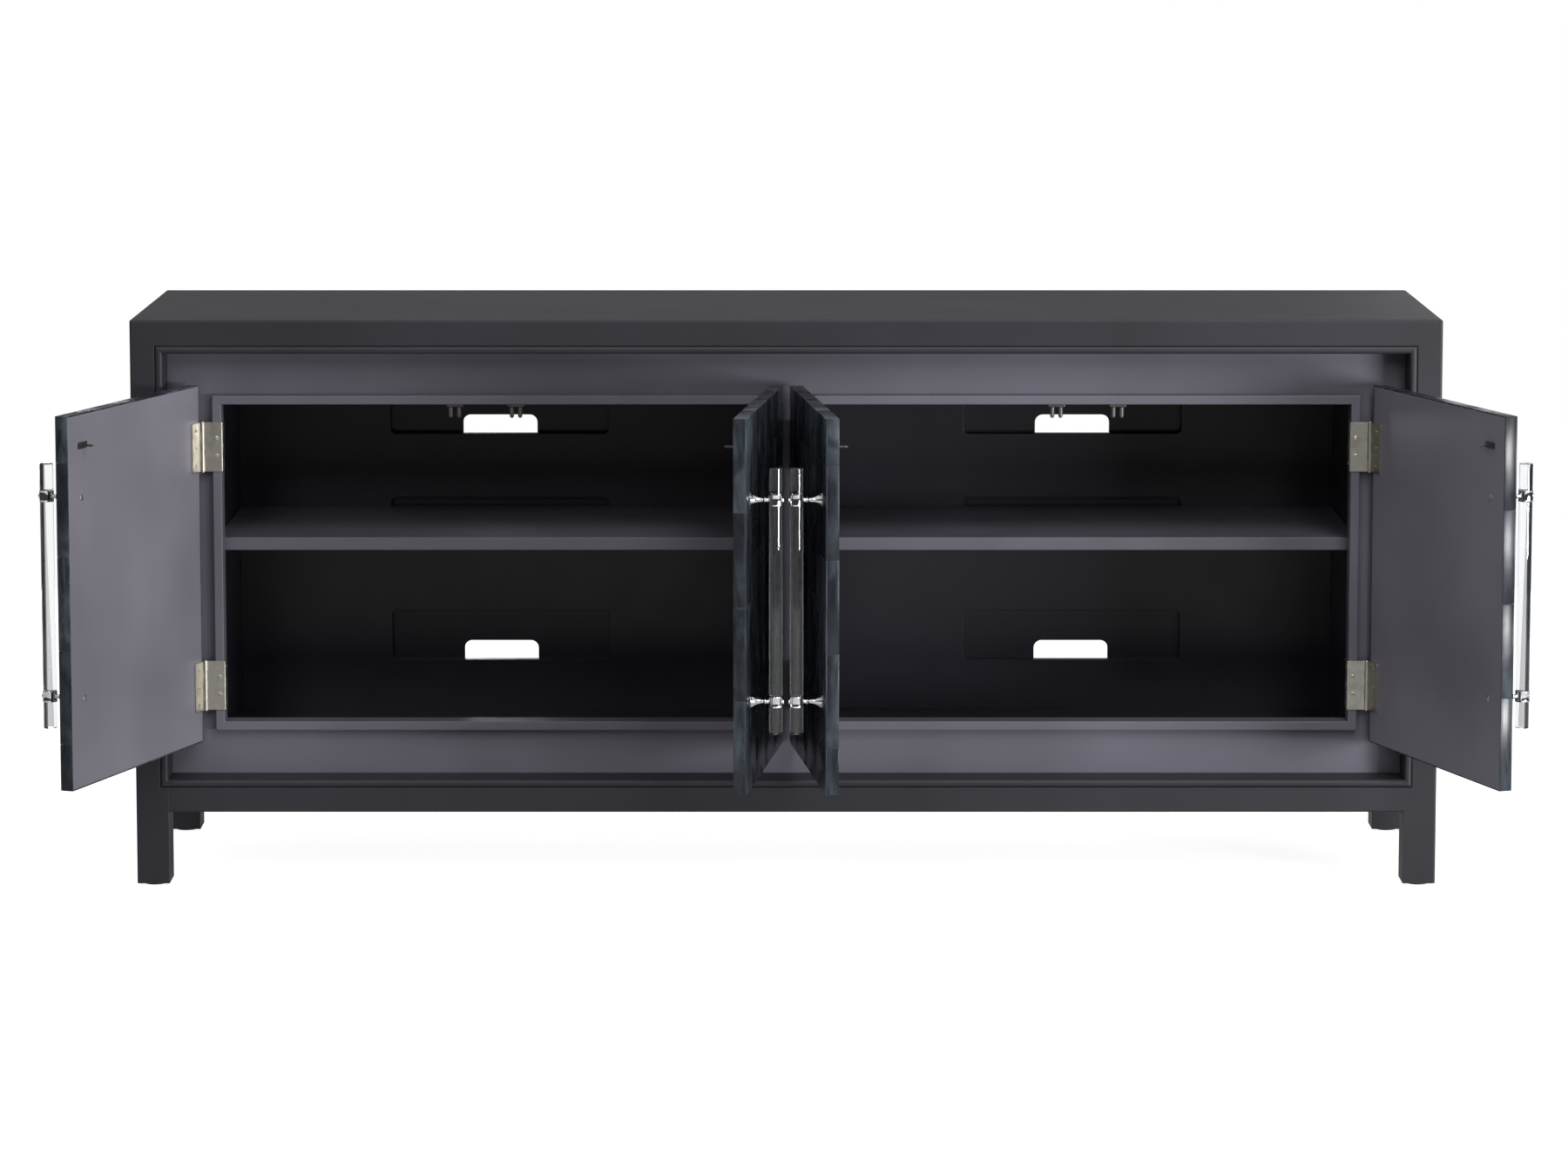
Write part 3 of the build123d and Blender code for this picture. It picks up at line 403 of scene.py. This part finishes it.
def bevelled_box(builder, low, high, bevel, segments=2):
    """Adds a box with all its edges rounded to a bmesh."""
    size = Vector(high) - Vector(low)
    middle = (Vector(high) + Vector(low)) / 2
    place = Matrix.Translation(middle) @ Matrix.Diagonal((*size, 1))
    made = bmesh.ops.create_cube(builder, size=1.0, matrix=place)
    edges = list({edge for vert in made["verts"] for edge in vert.link_edges})
    bmesh.ops.bevel(builder, geom=edges, offset=bevel, segments=segments, profile=0.5, affect="EDGES")


# ---------------------------------------------------------------- tiles

def column_seams(staggered):
    """Seam heights of one column: full tiles, or half a tile lower with halves at the ends."""
    tile = DOOR_HEIGHT / TILE_ROWS
    if staggered:
        inner = [DOOR_BOTTOM + tile * (row + 0.5) for row in range(TILE_ROWS)]
    else:
        inner = [DOOR_BOTTOM + tile * row for row in range(1, TILE_ROWS)]
    return [DOOR_BOTTOM] + inner + [DOOR_TOP]


def tile_boxes(first_staggered):
    """Corners of every tile on a door's face and along its edges."""
    boxes = []
    half = TILE_SEAM / 2
    width = DOOR_WIDTH / TILE_COLUMNS
    back_of_face = DOOR_FACE_Y + TILE_THICKNESS
    for column in range(TILE_COLUMNS):
        x0 = DOOR_SETBACK + column * width
        x1 = x0 + width
        seams = column_seams((column % 2 == 1) != first_staggered)
        for low, high in zip(seams, seams[1:]):
            boxes.append(((x0 + half, DOOR_FACE_Y, low + half), (x1 - half, back_of_face, high - half)))
            sides = []
            if column == 0:
                sides.append((x0, x0 + TILE_THICKNESS))
            if column == TILE_COLUMNS - 1:
                sides.append((x1 - TILE_THICKNESS, x1))
            for near, far in sides:
                boxes.append(((near, back_of_face, low + half), (far, DOOR_INNER_Y, high - half)))
        left = x0 + TILE_THICKNESS if column == 0 else x0 + half
        right = x1 - TILE_THICKNESS if column == TILE_COLUMNS - 1 else x1 - half
        for low, high in ((DOOR_BOTTOM, DOOR_BOTTOM + TILE_THICKNESS), (DOOR_TOP - TILE_THICKNESS, DOOR_TOP)):
            boxes.append(((left, back_of_face, low), (right, DOOR_INNER_Y, high)))
    return boxes


def make_tiles(name, way, opening):
    chance = random.Random("tiles " + name)
    builder = bmesh.new()
    tone = builder.faces.layers.float.new("tile_tone")
    shift = builder.faces.layers.float_vector.new("tile_shift")
    for low, high in tile_boxes(way < 0):
        known = set(builder.faces)
        bevelled_box(builder, low, high, TILE_BEVEL)
        tile_tone = chance.random()
        tile_shift = Vector((chance.uniform(0, 9), chance.uniform(0, 9), chance.uniform(0, 9)))
        for face in builder.faces:
            if face not in known:
                face[tone] = tile_tone
                face[shift] = tile_shift
    tiles = piece(name + "_tile_facing", builder, MATERIALS["horn_tile"],
                  name + "_door", door_place(name, way, opening))
    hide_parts(name + "_door_tiles")


# ---------------------------------------------------------------- handles

def make_rod(name, way, opening):
    half = HANDLE_LENGTH / 2
    ease = 0.0012
    profile = [(0, -half)] + arc((HANDLE_RADIUS - ease, -half + ease), ease, -90, 0)
    profile += arc((HANDLE_RADIUS - ease, half - ease), ease, 0, 90) + [(0, half)]
    builder = bmesh.new()
    lathe(builder, profile, Matrix.Translation((HANDLE_X, HANDLE_Y, HANDLE_MIDDLE_Z)))
    bar = piece(name + "_clear_rod", builder, MATERIALS["clear_acrylic"],
                name + "_door", door_place(name, way, opening))
    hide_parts(name + "_handle_rod")


def post_profile():
    """A stepped foot, a flare that runs out to a slim neck, and a small ball below the collar."""
    reach = HANDLE_STAND_OFF - HANDLE_RADIUS - 0.0004
    profile = [(0, 0), (0.0096, 0), (0.0100, 0.0004), (0.0100, 0.0013), (0.0096, 0.0017), (0.0088, 0.0018)]
    for step in range(13):
        along = step / 12
        radius = 0.0025 + 0.0060 * (1 - along) ** 2.1
        profile.append((radius, 0.0022 + 0.0168 * along))
    profile += arc((0.0025, 0.0208), 0.0014, -80, 80, 8)
    profile += [(0.0027, 0.0225), (0.0030, reach), (0, reach)]
    return profile


def collar_profile():
    """A sleeve with a bead at each end, closed on its inner side against the rod."""
    bore = HANDLE_RADIUS + 0.00005
    half = COLLAR_HEIGHT / 2
    bead = 0.0011
    waist = COLLAR_RADIUS - 0.0006
    outer = arc((COLLAR_RADIUS - bead, -half + bead), bead, -90, 60, 6)
    outer += [(waist, -half + 0.0024), (waist, half - 0.0024)]
    outer += arc((COLLAR_RADIUS - bead, half - bead), bead, -60, 90, 6)
    return [(bore, -half)] + outer + [(bore, half), (bore, -half)]


def button_profile():
    """A low domed screw head."""
    stem = [(0, -0.0016), (0.0034, -0.0016), (0.0036, 0.0004)]
    return stem + arc((0.0024, 0.0004), 0.0012, 0, 90, 5) + [(0, 0.0018)]


def make_posts(name, way, opening):
    outward = Matrix.Rotation(math.radians(90), 4, "X")
    builder = bmesh.new()
    for side in (-1, 1):
        z = HANDLE_MIDDLE_Z + side * HANDLE_POST_OFFSET
        lathe(builder, post_profile(), Matrix.Translation((HANDLE_X, DOOR_FACE_Y, z)) @ outward, 48)
        lathe(builder, collar_profile(), Matrix.Translation((HANDLE_X, HANDLE_Y, z)))
        tip = HANDLE_Y - COLLAR_RADIUS + 0.0003
        lathe(builder, button_profile(), Matrix.Translation((HANDLE_X, tip, z)) @ outward, 32)
    posts = piece(name + "_chrome_posts", builder, MATERIALS["polished_chrome"],
                  name + "_door", door_place(name, way, opening))
    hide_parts(name + "_handle_posts")


# ---------------------------------------------------------------- screws

def screw_head(builder, place, radius, height):
    """A domed head with a cross recess sunk into it. Local +Z is the way the head faces."""
    arm = radius * 0.56
    half = radius * 0.13
    depth = height * 0.75
    steps = 24

    def dome(distance):
        return height * math.sqrt(max(0.0, 1 - (distance / (radius * 1.12)) ** 2))

    inner = []
    for quarter in range(4):
        turn = Matrix.Rotation(quarter * math.pi / 2, 3, "Z")
        corners = (Vector((half, half, 0)), Vector((half, arm, 0)), Vector((-half, arm, 0)))
        inner += [turn @ corner for corner in corners]
    rim = [builder.verts.new(place @ Vector((p.x, p.y, dome(p.length)))) for p in inner]
    floor = [builder.verts.new(place @ Vector((p.x * 0.8, p.y * 0.8, dome(0) - depth))) for p in inner]
    turns = [2 * math.pi * (step + 0.5) / steps for step in range(steps)]
    spokes = [Vector((math.cos(turn), math.sin(turn), 0)) for turn in turns]
    crown = Vector((0, 0, dome(radius * 0.72)))
    shoulder = Vector((0, 0, dome(radius) * 0.8))
    mid = [builder.verts.new(place @ (spoke * radius * 0.72 + crown)) for spoke in spokes]
    outer = [builder.verts.new(place @ (spoke * radius + shoulder)) for spoke in spokes]
    foot = [builder.verts.new(place @ (spoke * radius)) for spoke in spokes]
    for index in range(12):
        follow = (index + 1) % 12
        builder.faces.new((rim[index], rim[follow], floor[follow], floor[index]))
    builder.faces.new(floor)
    for ring, beyond in ((mid, outer), (outer, foot)):
        for index in range(steps):
            follow = (index + 1) % steps
            builder.faces.new((ring[index], ring[follow], beyond[follow], beyond[index]))
    builder.faces.new(foot)
    bridge = [builder.edges.get((rim[i], rim[(i + 1) % 12])) for i in range(12)]
    bridge += [builder.edges.get((mid[i], mid[(i + 1) % steps])) for i in range(steps)]
    bmesh.ops.bridge_loops(builder, edges=bridge)


def facing(origin, direction):
    """A place whose local +Z points along a direction."""
    turn = Vector(direction).to_track_quat("Z", "Y").to_matrix().to_4x4()
    return Matrix.Translation(origin) @ turn


def make_door_screws(name, way, opening):
    chance = random.Random("screws " + name)
    builder = bmesh.new()
    for centre in HINGE_CENTRES:
        for step in (-1, 0, 1):
            spin = Matrix.Rotation(chance.uniform(0, math.pi), 4, "Z")
            spot = facing((LEAF_SCREW_X, -LEAF_FACE, centre + step * SCREW_PITCH), (0, 1, 0))
            screw_head(builder, spot @ spin, LEAF_SCREW_RADIUS, LEAF_SCREW_HEIGHT)
    for side in (-1, 1):
        spin = Matrix.Rotation(chance.uniform(0, math.pi), 4, "Z")
        spot = facing((HANDLE_X, DOOR_INNER_Y, HANDLE_MIDDLE_Z + side * HANDLE_POST_OFFSET), (0, 1, 0))
        screw_head(builder, spot @ spin, HANDLE_SCREW_RADIUS, HANDLE_SCREW_HEIGHT)
    screws = piece(name + "_screw_heads", builder, MATERIALS["satin_nickel"],
                   name + "_door", door_place(name, way, opening))
    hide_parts(name + "_door_screws")


def make_frame_screws():
    chance = random.Random("frame screws")
    builder = bmesh.new()
    for name, way, _ in DOORS:
        place = door_place(name, way, 0)
        for centre in HINGE_CENTRES:
            front_x = RIM_INNER_X - RIM_THICKNESS / 2
            wrap_x = RIM_INNER_X + LEAF_THICKNESS
            spots = [facing((front_x, LEAF_FACE, centre + step * SCREW_PITCH / 2), (0, -1, 0))
                     for step in (-1, 1)]
            spots += [facing((wrap_x, WRAP_SCREW_Y, centre + step * SCREW_PITCH), (1, 0, 0))
                      for step in (-1, 0, 1)]
            for spot in spots:
                spin = Matrix.Rotation(chance.uniform(0, math.pi), 4, "Z")
                screw_head(builder, place @ spot @ spin, LEAF_SCREW_RADIUS, LEAF_SCREW_HEIGHT)
    screws = piece("hinge_screw_heads", builder, MATERIALS["satin_nickel"], "case")
    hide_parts("hinge_frame_screws")


# ---------------------------------------------------------------- camera, lights, floor

CAMERA_DISTANCE = 7.523     # in front of the case's front face
CAMERA_HEIGHT = 1.609
CAMERA_PITCH = 6.7
CAMERA_LENS = 118.84
CAMERA_SHIFT = -0.12
CAMERA_SIDE_SHIFT = -0.0014

WORLD_LOW = 0.05            # strength of the surround as a light, near the horizon
WORLD_HIGH = 0.88           # and high up
FLOOR_GLOW = 0.9
FLOOR_BOUNCE = 0.10
FLOOR_RADIUS = 3.2
# Each light: name, place, what it points at, width and height, watts.
LIGHTS = (
    ("key_low_right", (3.6, -3.2, 0.47), (0.0, 0.0, 0.45), (1.6, 0.74), 250),
    ("front_right", (1.5, -4.2, 2.9), (0.0, 0.0, 0.45), (1.0, 1.4), 40),
    ("front_left", (-1.5, -4.2, 2.9), (0.0, 0.0, 0.45), (1.0, 1.4), 40),
    ("steep_right", (1.6, -3.0, 4.2), (0.0, 0.0, 0.45), (1.6, 1.6), 125),
    ("back_low", (-1.8, 4.4, 0.45), (0.0, 0.2, 0.43), (2.4, 0.7), 60),
    ("behind_right", (2.4, 4.6, 1.35), (0.9, 0.0, 0.8), (2.0, 0.8), 7),
)


def make_camera():
    case_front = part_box("front_legs")[0].y
    data = bpy.data.cameras.new("camera")
    data.lens = CAMERA_LENS
    data.sensor_width = 36.0
    data.shift_y = CAMERA_SHIFT
    data.shift_x = CAMERA_SIDE_SHIFT
    camera = bpy.data.objects.new("camera", data)
    camera.location = (0, case_front - CAMERA_DISTANCE, CAMERA_HEIGHT)
    camera.rotation_euler = (math.radians(90 - CAMERA_PITCH), 0, 0)
    bpy.context.collection.objects.link(camera)
    bpy.context.scene.camera = camera


def area_light(name, location, target, size, power):
    data = bpy.data.lights.new(name, "AREA")
    data.shape = "RECTANGLE"
    data.size, data.size_y = size
    data.energy = power
    light = bpy.data.objects.new(name, data)
    light.location = location
    light.rotation_euler = (Vector(target) - Vector(location)).to_track_quat("-Z", "Y").to_euler()
    bpy.context.collection.objects.link(light)


def make_world():
    """A white surround behind the cabinet; as a light it is far dimmer, and dimmest low down."""
    world = bpy.data.worlds.new("world")
    world.use_nodes = True
    bpy.context.scene.world = world
    tree = world.node_tree
    background = tree.nodes["Background"]
    background.inputs["Color"].default_value = (1.0, 1.0, 1.0, 1.0)
    path = add(tree, "ShaderNodeLightPath")
    seen = add(tree, "ShaderNodeMath", operation="MAXIMUM")
    tree.links.new(path.outputs["Is Camera Ray"], seen.inputs[0])
    tree.links.new(path.outputs["Is Transmission Ray"], seen.inputs[1])
    direction = add(tree, "ShaderNodeTexCoord")
    split = add(tree, "ShaderNodeSeparateXYZ")
    tree.links.new(direction.outputs["Generated"], split.inputs["Vector"])
    light = remap(tree, split.outputs["Z"], 0.15, 0.6, WORLD_LOW, WORLD_HIGH)
    strength = add(tree, "ShaderNodeMath", operation="MAXIMUM")
    tree.links.new(seen.outputs[0], strength.inputs[0])
    tree.links.new(light, strength.inputs[1])
    tree.links.new(strength.outputs[0], background.inputs["Strength"])


def make_floor():
    """A white studio floor, lit so that it goes as pale as the surround away from the cabinet."""
    material, tree, shader = new_material("studio_floor")
    space = object_coordinates(tree)
    tone = mix_colours(tree, noise(tree, space, 1.2, 2.0), (0.40, 0.40, 0.403), (0.43, 0.43, 0.433))
    tree.links.new(tone, shader.inputs["Base Color"])
    shader.inputs["Roughness"].default_value = 0.9
    shader.inputs["Specular IOR Level"].default_value = 0.0
    shader.inputs["Emission Color"].default_value = (1.0, 1.0, 1.0, 1.0)
    path = add(tree, "ShaderNodeLightPath")
    glow = remap(tree, path.outputs["Is Camera Ray"], 0.0, 1.0, FLOOR_BOUNCE, FLOOR_GLOW)
    tree.links.new(glow, shader.inputs["Emission Strength"])
    builder = bmesh.new()
    bmesh.ops.create_circle(builder, cap_ends=True, radius=FLOOR_RADIUS, segments=96)
    mesh = bpy.data.meshes.new("studio_floor")
    builder.to_mesh(mesh)
    builder.free()
    mesh.materials.append(material)
    floor = bpy.data.objects.new("studio_floor", mesh)
    floor.location.z = -0.0002
    bpy.context.collection.objects.link(floor)


def make_lights():
    for name, location, target, size, power in LIGHTS:
        area_light(name, location, target, size, power)


# ---------------------------------------------------------------- build

make_camera()
make_world()
make_lights()
make_floor()
dress_cad_nodes()
for door_name, reach, angle in DOORS:
    make_tiles(door_name, reach, angle)
    make_rod(door_name, reach, angle)
    make_posts(door_name, reach, angle)
    make_door_screws(door_name, reach, angle)
make_frame_screws()

bpy.context.scene.view_settings.view_transform = "Standard"
